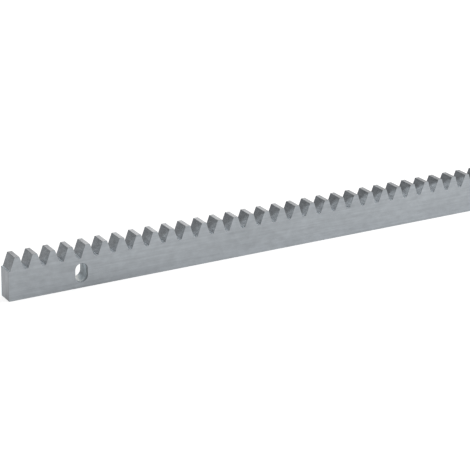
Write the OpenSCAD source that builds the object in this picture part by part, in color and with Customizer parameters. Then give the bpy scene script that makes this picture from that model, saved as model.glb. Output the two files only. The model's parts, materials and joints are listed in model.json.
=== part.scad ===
// Straight gear rack for a sliding gate: one steel bar with teeth along its top edge,
// and upright slots through its side for the screws that hold it.
// X runs along the bar, Y through its thickness and Z up to the tips of the teeth.
// The origin is on the base, under the middle of the bar, where a gap between two teeth is.

/* [Teeth] */
// Module: the distance from tooth to tooth, divided by pi
gear_module = 4; // [4:0.25:5]
// Number of teeth
tooth_count = 80; // [20:1:120]
// Lean of each flank from the upright, in degrees
pressure_angle = 20; // [14.5:0.5:25]
// Radius in the corners at the foot of the teeth
root_radius = 0.3; // [0.2:0.1:1.2]
// Radius along the two edges of each tip
tip_radius = 0.3; // [0.1:0.1:0.8]

/* [Bar] */
// Height from the base to the tips of the teeth
bar_height = 30; // [30:1:50]
// Thickness from the front face to the back face
bar_thickness = 12; // [8:1:30]
// Width of the small bevel along the bar's long edges
edge_bevel = 0.15; // [0.05:0.05:1]

/* [Fixing slots] */
// Number of slots, spread evenly along the bar
slot_count = 3; // [2:1:5]
// Distance from each end of the bar to the middle of the nearest slot
slot_end_distance = 52; // [20:1:100]
// Width of each slot, wide enough for an M8 screw
slot_width = 9; // [6:0.5:11]
// Height of each slot from end to end
slot_height = 13.5; // [11.5:0.5:16]
// Height of the middle of each slot above the base
slot_centre_height = 10.7; // [9.5:0.1:12]
// Width of the small bevel around each slot's two rims
slot_bevel = 0.15; // [0.05:0.05:0.5]

/* [Hidden] */
$fn = 48;
steel = [0.62, 0.64, 0.66];

// How far a cutting shape runs past the surface that it cuts
past = 1;

pitch = PI * gear_module;
bar_length = tooth_count * pitch;
addendum = gear_module;
dedendum = 1.25 * gear_module;
pitch_height = bar_height - addendum;
root_height = pitch_height - dedendum;

// The bar ends and the teeth begin where the root corners run out into the flanks.
seam_height = root_height + corner_reach(root_radius) * cos(pressure_angle);

slot_spacing = (bar_length - 2 * slot_end_distance) / (slot_count - 1);
slot_straight = slot_height - slot_width;

// Half the thickness of a tooth at height z
function tooth_half(z) = pitch / 4 + (pitch_height - z) * tan(pressure_angle);

// Half the width of the gap between two teeth at height z
function gap_half(z) = pitch / 2 - tooth_half(z);

// How far a radius r between a flank and a level face takes away from each of them
function corner_reach(r) = r * tan(45 - pressure_angle / 2);

// Side view of one tooth, from the seam up to its rounded tip
module tooth_outline() {
    reach = corner_reach(tip_radius);
    shoulder_height = bar_height - reach * cos(pressure_angle);
    tip_flat = tooth_half(bar_height) - reach;
    polygon([
        [-tooth_half(seam_height), seam_height],
        [tooth_half(seam_height), seam_height],
        [tooth_half(shoulder_height), shoulder_height],
        [tip_flat, bar_height],
        [-tip_flat, bar_height],
        [-tooth_half(shoulder_height), shoulder_height],
    ]);
    for (side = [-1, 1])
        translate([side * tip_flat, bar_height - tip_radius])
            circle(r = tip_radius);
}

// Side view of the foot of one gap, from its flat floor up past the seam
module gap_foot_outline() {
    floor_flat = gap_half(root_height) - corner_reach(root_radius);
    above = seam_height + past;
    polygon([
        [-gap_half(above), above],
        [-gap_half(seam_height), seam_height],
        [-floor_flat, root_height],
        [floor_flat, root_height],
        [gap_half(seam_height), seam_height],
        [gap_half(above), above],
    ]);
    for (side = [-1, 1])
        translate([side * floor_flat, root_height + root_radius])
            circle(r = root_radius);
}

// Extrudes a side view through the bar, and past both faces by extra
module across_bar(extra = 0) {
    rotate([90, 0, 0])
        linear_extrude(height = bar_thickness + 2 * extra, center = true)
            children();
}

// The blank that the teeth are cut from, with its long edges bevelled
module blank() {
    half = bar_thickness / 2;
    inner = half - edge_bevel;
    rotate([90, 0, 90])
        linear_extrude(height = bar_length, center = true)
            polygon([
                [-inner, 0],
                [inner, 0],
                [half, edge_bevel],
                [half, bar_height - edge_bevel],
                [inner, bar_height],
                [-inner, bar_height],
                [-half, bar_height - edge_bevel],
                [-half, edge_bevel],
            ]);
}

// One upright slot through the bar, centred on the origin
module slot() {
    across_bar(past) {
        square([slot_width, slot_straight], center = true);
        for (end = [-1, 1])
            translate([0, end * slot_straight / 2])
                circle(d = slot_width);
    }
    for (face = [0, 180])
        rotate([0, 0, face])
            translate([0, slot_bevel - bar_thickness / 2, 0])
                slot_rim();
}

// Bevel around one rim of a slot, opening out towards -Y
module slot_rim() {
    inner = slot_width / 2;
    depth = slot_bevel + past;
    rotate([90, 0, 0])
        for (end = [-1, 1])
            translate([0, end * slot_straight / 2, 0])
                cylinder(r1 = inner, r2 = inner + depth, h = depth);
    linear_extrude(height = slot_straight, center = true)
        polygon([
            [-inner, 0],
            [-inner - depth, -depth],
            [inner + depth, -depth],
            [inner, 0],
        ]);
}

// The solid bar below the teeth, with the foot of every gap and the fixing slots
module bar() {
    color(steel)
        difference() {
            blank();
            translate([-bar_length / 2 - past, -bar_thickness / 2 - past, seam_height])
                cube([bar_length + 2 * past, bar_thickness + 2 * past, bar_height]);
            for (i = [0:tooth_count])
                translate([i * pitch - bar_length / 2, 0, 0])
                    across_bar(past) gap_foot_outline();
            for (i = [0:slot_count - 1])
                translate([slot_end_distance + i * slot_spacing - bar_length / 2, 0, slot_centre_height])
                    slot();
        }
}

// The row of teeth, from the seam to the tips
module teeth() {
    color(steel)
        intersection() {
            blank();
            for (i = [0:tooth_count - 1])
                translate([(i + 0.5) * pitch - bar_length / 2, 0, 0])
                    across_bar(past) tooth_outline();
        }
}

bar();
teeth();
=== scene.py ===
"""A straight steel gear rack: one bar with teeth along its top and slots for its screws."""

import json
import math

import bmesh
import bpy
from mathutils import Matrix, Vector


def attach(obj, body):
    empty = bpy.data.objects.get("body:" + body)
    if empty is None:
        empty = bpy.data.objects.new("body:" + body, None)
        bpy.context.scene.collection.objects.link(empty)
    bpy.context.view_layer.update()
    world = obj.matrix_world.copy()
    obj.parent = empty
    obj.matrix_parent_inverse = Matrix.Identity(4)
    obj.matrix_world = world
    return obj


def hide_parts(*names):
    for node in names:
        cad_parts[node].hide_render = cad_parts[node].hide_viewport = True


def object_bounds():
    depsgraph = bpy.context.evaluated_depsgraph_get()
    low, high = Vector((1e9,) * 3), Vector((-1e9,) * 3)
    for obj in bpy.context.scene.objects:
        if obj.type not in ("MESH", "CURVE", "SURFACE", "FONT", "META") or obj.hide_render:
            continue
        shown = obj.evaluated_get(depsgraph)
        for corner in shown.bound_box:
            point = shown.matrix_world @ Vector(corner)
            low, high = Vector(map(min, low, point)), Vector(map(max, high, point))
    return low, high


MM = 0.001

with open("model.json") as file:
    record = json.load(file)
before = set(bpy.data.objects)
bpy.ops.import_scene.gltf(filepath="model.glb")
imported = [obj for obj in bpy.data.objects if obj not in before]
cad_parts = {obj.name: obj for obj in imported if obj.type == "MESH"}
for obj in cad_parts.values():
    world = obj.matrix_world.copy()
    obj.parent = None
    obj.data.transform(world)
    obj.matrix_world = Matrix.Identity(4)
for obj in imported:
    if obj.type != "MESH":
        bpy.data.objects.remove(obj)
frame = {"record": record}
cad_low, cad_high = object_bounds()

# ---------------------------------------------------------------- sizes, from the frame
MOUNTS = {mount["name"]: mount for mount in frame["record"]["mounts"]}
SLOT_NAMES = ("slot_left", "slot_middle", "slot_right")
SLOT_DIMS = MOUNTS["slot_left"]["dims"]
SLOT_RADIUS = SLOT_DIMS["hole_r_mm"] * MM
SLOT_STRAIGHT_HALF = SLOT_DIMS["slot_length_mm"] * MM / 2 - SLOT_RADIUS
SLOT_HEIGHT = MOUNTS["slot_left"]["pos_m"][2]

LENGTH = cad_high.x - cad_low.x
HEIGHT = cad_high.z
HALF_THICKNESS = cad_high.y
PITCH_HEIGHT = MOUNTS["pinion_mesh"]["pos_m"][2]
MODULE = HEIGHT - PITCH_HEIGHT
PITCH = math.pi * MODULE
TOOTH_COUNT = round(LENGTH / PITCH)
# How far the gaps between the teeth go below the pitch line
DEDENDUM = 1.25 * MODULE
FLOOR_HEIGHT = PITCH_HEIGHT - DEDENDUM
PRESSURE_ANGLE = math.radians(20)

ROOT_RADIUS = 0.3 * MM
TIP_RADIUS = 0.3 * MM
CORNER_RADIUS = 0.4 * MM
# The small rounding where the front and back faces meet everything else
EDGE_RADIUS = 0.12 * MM
SLOT_EDGE_RADIUS = 0.15 * MM

ARC_STEPS = 5
EDGE_STEPS = 3
SLOT_ARC_STEPS = 24
# Neighbouring faces that turn by more than this meet in a sharp edge
SHARP_ANGLE = math.radians(35)

# ---------------------------------------------------------------- finishes
# Share of the light that each finish reflects, in red, green and blue
DRAWN_TINT = (0.54, 0.576, 0.608)
# Rounded edges: a rougher finish, and a darker tint that is painted shade, damping their highlights
EDGE_PAINTED_SHADE_TINT = (0.34, 0.36, 0.38)
# Tips: the drawn steel's finish with a darker tint, painted shade that damps the back lamps' reflection in
# them
TIP_PAINTED_SHADE_TINT = (0.238, 0.255, 0.276)
FLANK_TINT = (0.336, 0.358, 0.379)
# Gap floors: a tint brighter and bluer than steel reflects, painted light that stands in for cool light
# from above on the rough floors between the teeth
GAP_FLOOR_PAINTED_LIGHT_TINT = (0.84, 0.91, 0.97)
SAWN_TINT = (0.51, 0.535, 0.562)
PUNCHED_TINT = (0.61, 0.65, 0.675)

# Grain of each kind of working, as patterns a metre along X, Y and Z
ALONG_BAR = (50, 3000, 3000)
UP_FLANKS = (400, 4000, 300)
UPRIGHT = (3000, 3000, 150)
EVEN = (3000, 3000, 3000)
GRAIN_DEPTH = 0.02 * MM
# How far the grain takes the tint up and down, as a share, and the roughness
GRAIN_SHARE = 0.05
GRAIN_ROUGHNESS = 0.06
BUMP_STRENGTH = 0.5
ANISOTROPY = 0.3

# Coarser marks: patterns a metre along X, Y and Z, and how far they take the tint, as a share
STREAKS = [((20, 500, 700), 0.07), ((150, 150, 230), 0.08), ((14, 40, 50), 0.04)]
CUTTER_MARKS = [((250, 150, 350), 0.16), ((700, 300, 900), 0.16)]
FLOOR_MARKS = [((300, 300, 300), 0.05), ((900, 900, 900), 0.03)]
SAW_MARKS = [((300, 280, 60), 0.09), ((120, 120, 120), 0.07)]
PUNCH_MARKS = [((100, 500, 100), 0.18), ((500, 300, 500), 0.14)]
# How far the cutter marks on the flanks are turned about X, in degrees
CUTTER_SLANT = -15

# Painted contact shade low down near the left end: what is left of the brightness at the centre, and how
# far each patch reaches
PAINTED_SHADE_SHARE = 0.78
FRONT_SHADE_FROM_END = 60 * MM
FRONT_SHADE_REACH = (110 * MM, 10 * MM, 13 * MM)
END_SHADE_REACH = (10 * MM, 18 * MM, 13 * MM)

# Inside a slot: a darker band behind the front rim, with a wandering edge, and a painted highlight at the
# foot, where the lower wall faces up
BAND_SHARE = 0.7
BAND_FADE_START = 1.5 * MM
BAND_FADE_END = 2.5 * MM
BAND_WANDER = 1.0 * MM
BAND_WANDER_SCALE = (400, 400, 400)
FOOT_HIGHLIGHT_SHARE = 1.6

# ---------------------------------------------------------------- camera
# Where the camera stands, seen from the point that it looks at, in degrees
VIEW_AZIMUTH = -31.137
VIEW_ELEVATION = 20.971
VIEW_ROLL = 1.453
VIEW_DISTANCE = 1153.2 * MM
# The picture's width and the focal length, both in pixels
IMAGE_PIXELS = 470
VIEW_FOCAL_PIXELS = 1666.08
SENSOR_WIDTH_MM = 36
# The point that the camera looks at, on the front face
VIEW_FROM_LEFT_END = 169.38 * MM
VIEW_HEIGHT = 16.82 * MM

# ---------------------------------------------------------------- studio
# From the middle of the floor to each of its sides, in metres
FLOOR_HALF_WIDTH = 6
PAPER = (0.6, 0.6, 0.6, 1)
WHITE = (1.0, 1.0, 1.0)
WARM_WHITE = (1.0, 0.955, 0.91)
# Brightness of floor and backdrop, and what is added where the camera sees them directly
FLOOR_GLOW, FLOOR_GLOW_SEEN = 0.31, 0.45
SKY_GLOW, SKY_GLOW_SEEN = 0.36, 0.64


# ---------------------------------------------------------------- the rack's outline
def tooth_half(z):
    """Half the thickness of a tooth at height z."""
    return PITCH / 4 + (PITCH_HEIGHT - z) * math.tan(PRESSURE_ANGLE)


def arc(centre_x, centre_z, radius, start, end, steps=ARC_STEPS):
    """Points on an arc in the side view, from one angle to another, in degrees."""
    points = []
    for step in range(steps + 1):
        angle = math.radians(start + (end - start) * step / steps)
        points.append(
            (centre_x + radius * math.cos(angle), centre_z + radius * math.sin(angle))
        )
    return points


def tooth_points(centre_x):
    """One tooth's outline, from the floor on its right, over the tip, to the floor on its left."""
    turn = 90 - math.degrees(PRESSURE_ANGLE)
    reach = math.tan(math.radians(turn / 2))
    tip = tooth_half(HEIGHT) - TIP_RADIUS * reach
    foot = tooth_half(FLOOR_HEIGHT) + ROOT_RADIUS * reach
    right = arc(foot, FLOOR_HEIGHT + ROOT_RADIUS, ROOT_RADIUS, 270, 270 - turn)
    right += arc(tip, HEIGHT - TIP_RADIUS, TIP_RADIUS, 90 - turn, 90)
    left = [(-x, z) for x, z in reversed(right)]
    return [(centre_x + x, z) for x, z in right + left]


def side_outline():
    """The whole side view, anticlockwise from the bottom left corner."""
    left, right, r = cad_low.x, cad_high.x, CORNER_RADIUS
    outline = arc(left + r, r, r, 180, 270) + arc(right - r, r, r, 270, 360)
    outline += arc(right - r, FLOOR_HEIGHT - r, r, 0, 90)
    for index in reversed(range(TOOTH_COUNT)):
        outline += tooth_points(left + (index + 0.5) * PITCH)
    outline += arc(left + r, FLOOR_HEIGHT - r, r, 90, 180)
    return outline


def slot_outline(centre_x, centre_z):
    """One upright slot, clockwise, so that the steel is on its left as on the side outline."""
    outline = arc(centre_x, centre_z + SLOT_STRAIGHT_HALF, SLOT_RADIUS, 180, 0, SLOT_ARC_STEPS)
    outline += arc(centre_x, centre_z - SLOT_STRAIGHT_HALF, SLOT_RADIUS, 0, -180, SLOT_ARC_STEPS)
    return outline


def inset(outline, distance):
    """Moves a closed outline into the steel, which lies on its left, by a distance."""
    moved = []
    count = len(outline)
    for index, (x, z) in enumerate(outline):
        before = Vector(outline[index - 1])
        here = Vector((x, z))
        after = Vector(outline[(index + 1) % count])
        along_in = (here - before).normalized()
        along_out = (after - here).normalized()
        inward = Vector((-along_in.y - along_out.y, along_in.x + along_out.x)).normalized()
        share = inward.dot(Vector((-along_in.y, along_in.x)))
        moved.append((x + inward.x * distance / share, z + inward.y * distance / share))
    return moved


# ---------------------------------------------------------------- the rack's mesh
def rounded_rings(outline, radius):
    """Rings of points from the front face to the back face, with both rims rounded."""
    quarter = [math.radians(90 * step / EDGE_STEPS) for step in range(EDGE_STEPS + 1)]
    front = [
        (radius * (1 - math.sin(angle)), radius * (1 - math.cos(angle)) - HALF_THICKNESS)
        for angle in quarter
    ]
    places = front + [(distance, -y) for distance, y in reversed(front)]
    return [[(x, y, z) for x, z in inset(outline, distance)] for distance, y in places]


def skin_rings(mesh, rings):
    """Joins neighbouring rings with quads, and returns the first and last ring's edges."""
    loops = [[mesh.verts.new(point) for point in ring] for ring in rings]
    for loop, following in zip(loops, loops[1:]):
        count = len(loop)
        for index in range(count):
            after = (index + 1) % count
            mesh.faces.new((loop[index], loop[after], following[after], following[index]))
    ends = []
    for loop in (loops[0], loops[-1]):
        ends.append([mesh.edges.get((loop[i - 1], loop[i])) for i in range(len(loop))])
    return ends


DRAWN, EDGE, TIP, FLANK, GAP_FLOOR, SAWN, PUNCHED = range(7)

# Limits on a part of a face's normal, from 0 to 1, that tell the surfaces apart
SQUARE_ON = 0.95
TURNED_FROM_Y = 0.05
FACING_END = 0.9
LEVEL = 0.99
ROUNDED_OFF_FLANK = 0.4
MOSTLY_UP = 0.6
FLAT_FACE = 0.999
# How far below the gap floors a face's middle may lie and still belong to the teeth
FLOOR_MARGIN = 0.1 * MM


def surface_of(face):
    """Which finish a face of the rack has, from where it is and which way it faces."""
    centre, normal = face.calc_center_median(), face.normal
    inside_ends = abs(centre.x) < cad_high.x - CORNER_RADIUS
    if abs(normal.y) > SQUARE_ON:
        return DRAWN
    if abs(normal.y) > TURNED_FROM_Y:
        return EDGE
    if abs(normal.x) > FACING_END and not inside_ends:
        return SAWN
    if centre.z > HEIGHT - TIP_RADIUS and normal.z > LEVEL:
        return TIP
    if centre.z > HEIGHT - TIP_RADIUS and normal.z > ROUNDED_OFF_FLANK:
        return EDGE
    if centre.z > FLOOR_HEIGHT - FLOOR_MARGIN:
        return GAP_FLOOR if normal.z > MOSTLY_UP else FLANK
    if centre.z > CORNER_RADIUS and inside_ends:
        return PUNCHED
    return DRAWN


def build_rack():
    """The whole rack as one closed mesh, with each face given the number of its finish."""
    mesh = bmesh.new()
    outlines = [(side_outline(), EDGE_RADIUS)]
    for name in SLOT_NAMES:
        centre = MOUNTS[name]["pos_m"]
        outlines.append((slot_outline(centre[0], centre[2]), SLOT_EDGE_RADIUS))
    front_edges, back_edges = [], []
    for outline, radius in outlines:
        front, back = skin_rings(mesh, rounded_rings(outline, radius))
        front_edges += front
        back_edges += back
    for edges in (front_edges, back_edges):
        bmesh.ops.triangle_fill(mesh, use_beauty=True, edges=edges)
    bmesh.ops.recalc_face_normals(mesh, faces=mesh.faces)
    for face in mesh.faces:
        face.material_index = surface_of(face)
        face.smooth = abs(face.normal.y) < FLAT_FACE
    data = bpy.data.meshes.new("rack")
    mesh.to_mesh(data)
    mesh.free()
    data.set_sharp_from_angle(angle=SHARP_ANGLE)
    rack = bpy.data.objects.new("rack", data)
    bpy.context.scene.collection.objects.link(rack)
    flat = rack.modifiers.new("flat_faces_stay_flat", "WEIGHTED_NORMAL")
    flat.keep_sharp = True
    return rack


# ---------------------------------------------------------------- materials
def new_material(name):
    material = bpy.data.materials.new(name)
    material.use_nodes = True
    shader = material.node_tree.nodes["Principled BSDF"]
    shader.inputs["Metallic"].default_value = 1.0
    shader.inputs["Anisotropic"].default_value = ANISOTROPY
    return material


def add_mapping(material):
    """A mapping node for a pattern in the rack's own space, whose place, turn and scale are set later."""
    nodes, links = material.node_tree.nodes, material.node_tree.links
    place = nodes.new("ShaderNodeTexCoord")
    mapping = nodes.new("ShaderNodeMapping")
    mapping.vector_type = "TEXTURE"
    links.new(place.outputs["Object"], mapping.inputs["Vector"])
    return mapping


def add_noise(material, scale, detail, roughness, slant=0):
    """Noise with its own scale along X, Y and Z, in patterns a metre.

    The slant is how far the pattern is turned about X, in degrees.
    """
    mapping = add_mapping(material)
    mapping.inputs["Rotation"].default_value = (math.radians(slant), 0, 0)
    mapping.inputs["Scale"].default_value = [1 / each for each in scale]
    noise = material.node_tree.nodes.new("ShaderNodeTexNoise")
    noise.inputs["Scale"].default_value = 1.0
    noise.inputs["Detail"].default_value = detail
    noise.inputs["Roughness"].default_value = roughness
    material.node_tree.links.new(mapping.outputs["Vector"], noise.inputs["Vector"])
    return noise.outputs["Fac"]


def add_range(material, value, low, high, start=0.3, end=0.7):
    """Maps start to end onto low to high, and holds the value at either side of them.

    Unless they are given, the start and end take in the middle of a noise.
    """
    node = material.node_tree.nodes.new("ShaderNodeMapRange")
    node.inputs["From Min"].default_value = start
    node.inputs["From Max"].default_value = end
    node.inputs["To Min"].default_value = low
    node.inputs["To Max"].default_value = high
    material.node_tree.links.new(value, node.inputs["Value"])
    return node.outputs["Result"]


def add_math(material, operation, first, second):
    node = material.node_tree.nodes.new("ShaderNodeMath")
    node.operation = operation
    material.node_tree.links.new(first, node.inputs[0])
    material.node_tree.links.new(second, node.inputs[1])
    return node.outputs["Value"]


def finish_steel(material, tint, brightness, roughness, height):
    """Drives colour, roughness and bump from the patterns given."""
    nodes, links = material.node_tree.nodes, material.node_tree.links
    shader = nodes["Principled BSDF"]
    scale = nodes.new("ShaderNodeVectorMath")
    scale.operation = "SCALE"
    scale.inputs[0].default_value = tint
    links.new(brightness, scale.inputs["Scale"])
    links.new(scale.outputs["Vector"], shader.inputs["Base Color"])
    links.new(roughness, shader.inputs["Roughness"])
    bump = nodes.new("ShaderNodeBump")
    bump.inputs["Strength"].default_value = BUMP_STRENGTH
    bump.inputs["Distance"].default_value = GRAIN_DEPTH
    links.new(height, bump.inputs["Height"])
    links.new(bump.outputs["Normal"], shader.inputs["Normal"])


def steel_material(name, tint, grain_scale, patterns, roughness, slant=0, shading=None):
    """Steel with a fine grain, and coarser patterns that take its tint up and down by a share.

    Each pattern is the scale of its noise along X, Y and Z, and that share. The slant turns
    these patterns about X, in degrees. The shading is a function that adds one more pattern.
    """
    material = new_material(name)
    grain = add_noise(material, grain_scale, detail=4.0, roughness=0.6)
    brightness = add_range(material, grain, 1 - GRAIN_SHARE, 1 + GRAIN_SHARE)
    for scale, share in patterns:
        noise = add_noise(material, scale, detail=3.0, roughness=0.55, slant=slant)
        level = add_range(material, noise, 1 - share, 1 + share)
        brightness = add_math(material, "MULTIPLY", brightness, level)
    if shading:
        brightness = add_math(material, "MULTIPLY", brightness, shading(material))
    smooth, rough = roughness - GRAIN_ROUGHNESS, roughness + GRAIN_ROUGHNESS
    finish_steel(material, tint, brightness, add_range(material, grain, smooth, rough), grain)
    return material


def painted_shade_patch(material, centre, reach):
    """A patch of painted shade, darkest at its centre and gone where its reach ends."""
    mapping = add_mapping(material)
    mapping.inputs["Location"].default_value = centre
    mapping.inputs["Scale"].default_value = reach
    patch = material.node_tree.nodes.new("ShaderNodeTexGradient")
    patch.gradient_type = "QUADRATIC_SPHERE"
    material.node_tree.links.new(mapping.outputs["Vector"], patch.inputs["Vector"])
    return add_range(material, patch.outputs["Fac"], 1.0, PAINTED_SHADE_SHARE, start=0.0, end=1.0)


def front_painted_shade(material):
    """Painted contact shade low down on the front, near the left end."""
    centre = (cad_low.x + FRONT_SHADE_FROM_END, cad_low.y, 0)
    return painted_shade_patch(material, centre, FRONT_SHADE_REACH)


def end_painted_shade(material):
    """Painted contact shade at the foot of the left end."""
    return painted_shade_patch(material, (cad_low.x, cad_low.y, 0), END_SHADE_REACH)


def slot_band_and_painted_highlight(material):
    """Darker in the front part of a slot, and brighter at its foot: a painted highlight where the lower
    wall faces up.
    """
    nodes, links = material.node_tree.nodes, material.node_tree.links
    place = nodes.new("ShaderNodeTexCoord")
    split = nodes.new("ShaderNodeSeparateXYZ")
    links.new(place.outputs["Object"], split.inputs["Vector"])
    wander = add_noise(material, BAND_WANDER_SCALE, detail=3.0, roughness=0.5)
    offset = add_range(material, wander, -BAND_WANDER, BAND_WANDER)
    depth = add_math(material, "ADD", split.outputs["Y"], offset)
    start, end = cad_low.y + BAND_FADE_START, cad_low.y + BAND_FADE_END
    band = add_range(material, depth, BAND_SHARE, 1.0, start, end)
    lower_centre = SLOT_HEIGHT - SLOT_STRAIGHT_HALF
    lowest, foot_top = lower_centre - SLOT_RADIUS, lower_centre - SLOT_RADIUS / 2
    # Painted highlight: the tint rises towards the lowest point of the slot
    foot = add_range(material, split.outputs["Z"], FOOT_HIGHLIGHT_SHARE, 1.0, lowest, foot_top)
    return add_math(material, "MULTIPLY", band, foot)


def rack_materials():
    """The finishes, in the order of the numbers that surface_of gives."""
    return [
        steel_material("drawn_steel", DRAWN_TINT, ALONG_BAR, STREAKS, roughness=0.32, shading=front_painted_shade),
        steel_material("edge_steel_painted_shade", EDGE_PAINTED_SHADE_TINT, EVEN, STREAKS, roughness=0.60),
        steel_material("tip_steel_painted_shade", TIP_PAINTED_SHADE_TINT, ALONG_BAR, STREAKS, roughness=0.32),
        steel_material(
            "flank_steel", FLANK_TINT, UP_FLANKS, CUTTER_MARKS, roughness=0.22, slant=CUTTER_SLANT
        ),
        steel_material("gap_floor_steel_painted_light", GAP_FLOOR_PAINTED_LIGHT_TINT, EVEN, FLOOR_MARKS, roughness=0.60),
        steel_material("sawn_steel", SAWN_TINT, UPRIGHT, SAW_MARKS, roughness=0.40, shading=end_painted_shade),
        steel_material(
            "punched_steel", PUNCHED_TINT, EVEN, PUNCH_MARKS, roughness=0.70, shading=slot_band_and_painted_highlight
        ),
    ]


# ---------------------------------------------------------------- camera, floor and lights
def add_camera():
    azimuth, elevation, roll = (
        math.radians(degrees) for degrees in (VIEW_AZIMUTH, VIEW_ELEVATION, VIEW_ROLL)
    )
    back = Vector((
        math.sin(azimuth) * math.cos(elevation),
        -math.cos(azimuth) * math.cos(elevation),
        math.sin(elevation),
    ))
    level = Vector((0, 0, 1)).cross(back).normalized()
    upright = back.cross(level)
    right = level * math.cos(roll) + upright * math.sin(roll)
    up = upright * math.cos(roll) - level * math.sin(roll)
    target = Vector((cad_low.x + VIEW_FROM_LEFT_END, -HALF_THICKNESS, VIEW_HEIGHT))
    data = bpy.data.cameras.new("camera")
    data.sensor_width = SENSOR_WIDTH_MM
    data.lens = VIEW_FOCAL_PIXELS * data.sensor_width / IMAGE_PIXELS
    data.clip_start = 0.01
    data.clip_end = 50
    camera = bpy.data.objects.new("camera", data)
    camera.matrix_world = Matrix.LocRotScale(
        target + back * VIEW_DISTANCE, Matrix((right, up, back)).transposed(), None
    )
    bpy.context.scene.collection.objects.link(camera)
    bpy.context.scene.camera = camera


def add_glow(tree, strength, extra):
    """A strength, with the extra added for what the camera sees directly."""
    path = tree.nodes.new("ShaderNodeLightPath")
    glow = tree.nodes.new("ShaderNodeMath")
    glow.operation = "MULTIPLY_ADD"
    glow.inputs[1].default_value = extra
    glow.inputs[2].default_value = strength
    tree.links.new(path.outputs["Is Camera Ray"], glow.inputs[0])
    return glow.outputs["Value"]


def add_floor():
    mesh = bmesh.new()
    bmesh.ops.create_grid(mesh, x_segments=1, y_segments=1, size=FLOOR_HALF_WIDTH)
    data = bpy.data.meshes.new("floor")
    mesh.to_mesh(data)
    mesh.free()
    floor = bpy.data.objects.new("floor", data)
    bpy.context.scene.collection.objects.link(floor)
    material = bpy.data.materials.new("floor_paper")
    material.use_nodes = True
    shader = material.node_tree.nodes["Principled BSDF"]
    shader.inputs["Base Color"].default_value = PAPER
    shader.inputs["Roughness"].default_value = 1.0
    shader.inputs["Specular IOR Level"].default_value = 0.0
    shader.inputs["Emission Color"].default_value = (1, 1, 1, 1)
    glow = add_glow(material.node_tree, FLOOR_GLOW, FLOOR_GLOW_SEEN)
    material.node_tree.links.new(glow, shader.inputs["Emission Strength"])
    data.materials.append(material)


def add_softbox(name, azimuth, elevation, distance, size, power, colour):
    """A square lamp aimed at the middle of the rack's base, from that azimuth and elevation."""
    data = bpy.data.lights.new(name, "AREA")
    data.shape = "SQUARE"
    data.size = size
    data.energy = power
    data.color = colour
    lamp = bpy.data.objects.new(name, data)
    turn, rise = math.radians(azimuth), math.radians(elevation)
    place = distance * Vector((
        math.sin(turn) * math.cos(rise), -math.cos(turn) * math.cos(rise), math.sin(rise)
    ))
    lamp.location = place
    lamp.rotation_euler = place.to_track_quat("Z", "Y").to_euler()
    lamp.visible_camera = False
    bpy.context.scene.collection.objects.link(lamp)


def add_studio():
    world = bpy.data.worlds.new("studio")
    world.use_nodes = True
    background = world.node_tree.nodes["Background"]
    background.inputs["Color"].default_value = (1, 1, 1, 1)
    glow = add_glow(world.node_tree, SKY_GLOW, SKY_GLOW_SEEN)
    world.node_tree.links.new(glow, background.inputs["Strength"])
    bpy.context.scene.world = world
    add_softbox("near_light", 45, 65, distance=0.8, size=0.5, power=2.4, colour=WHITE)
    add_softbox("low_back_light", 150, 28, distance=2.5, size=1.2, power=3.6, colour=WARM_WHITE)
    add_softbox("middle_back_light", 171, 27, distance=2.5, size=1.5, power=4.8, colour=WARM_WHITE)
    add_softbox("high_back_light", 155, 42, distance=2.5, size=1.0, power=4.5, colour=WARM_WHITE)
    bpy.context.scene.view_settings.view_transform = "Standard"


# ---------------------------------------------------------------- put it together
add_camera()
add_floor()
add_studio()

rack = build_rack()
for finish in rack_materials():
    rack.data.materials.append(finish)
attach(rack, "root")
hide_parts("bar", "teeth")
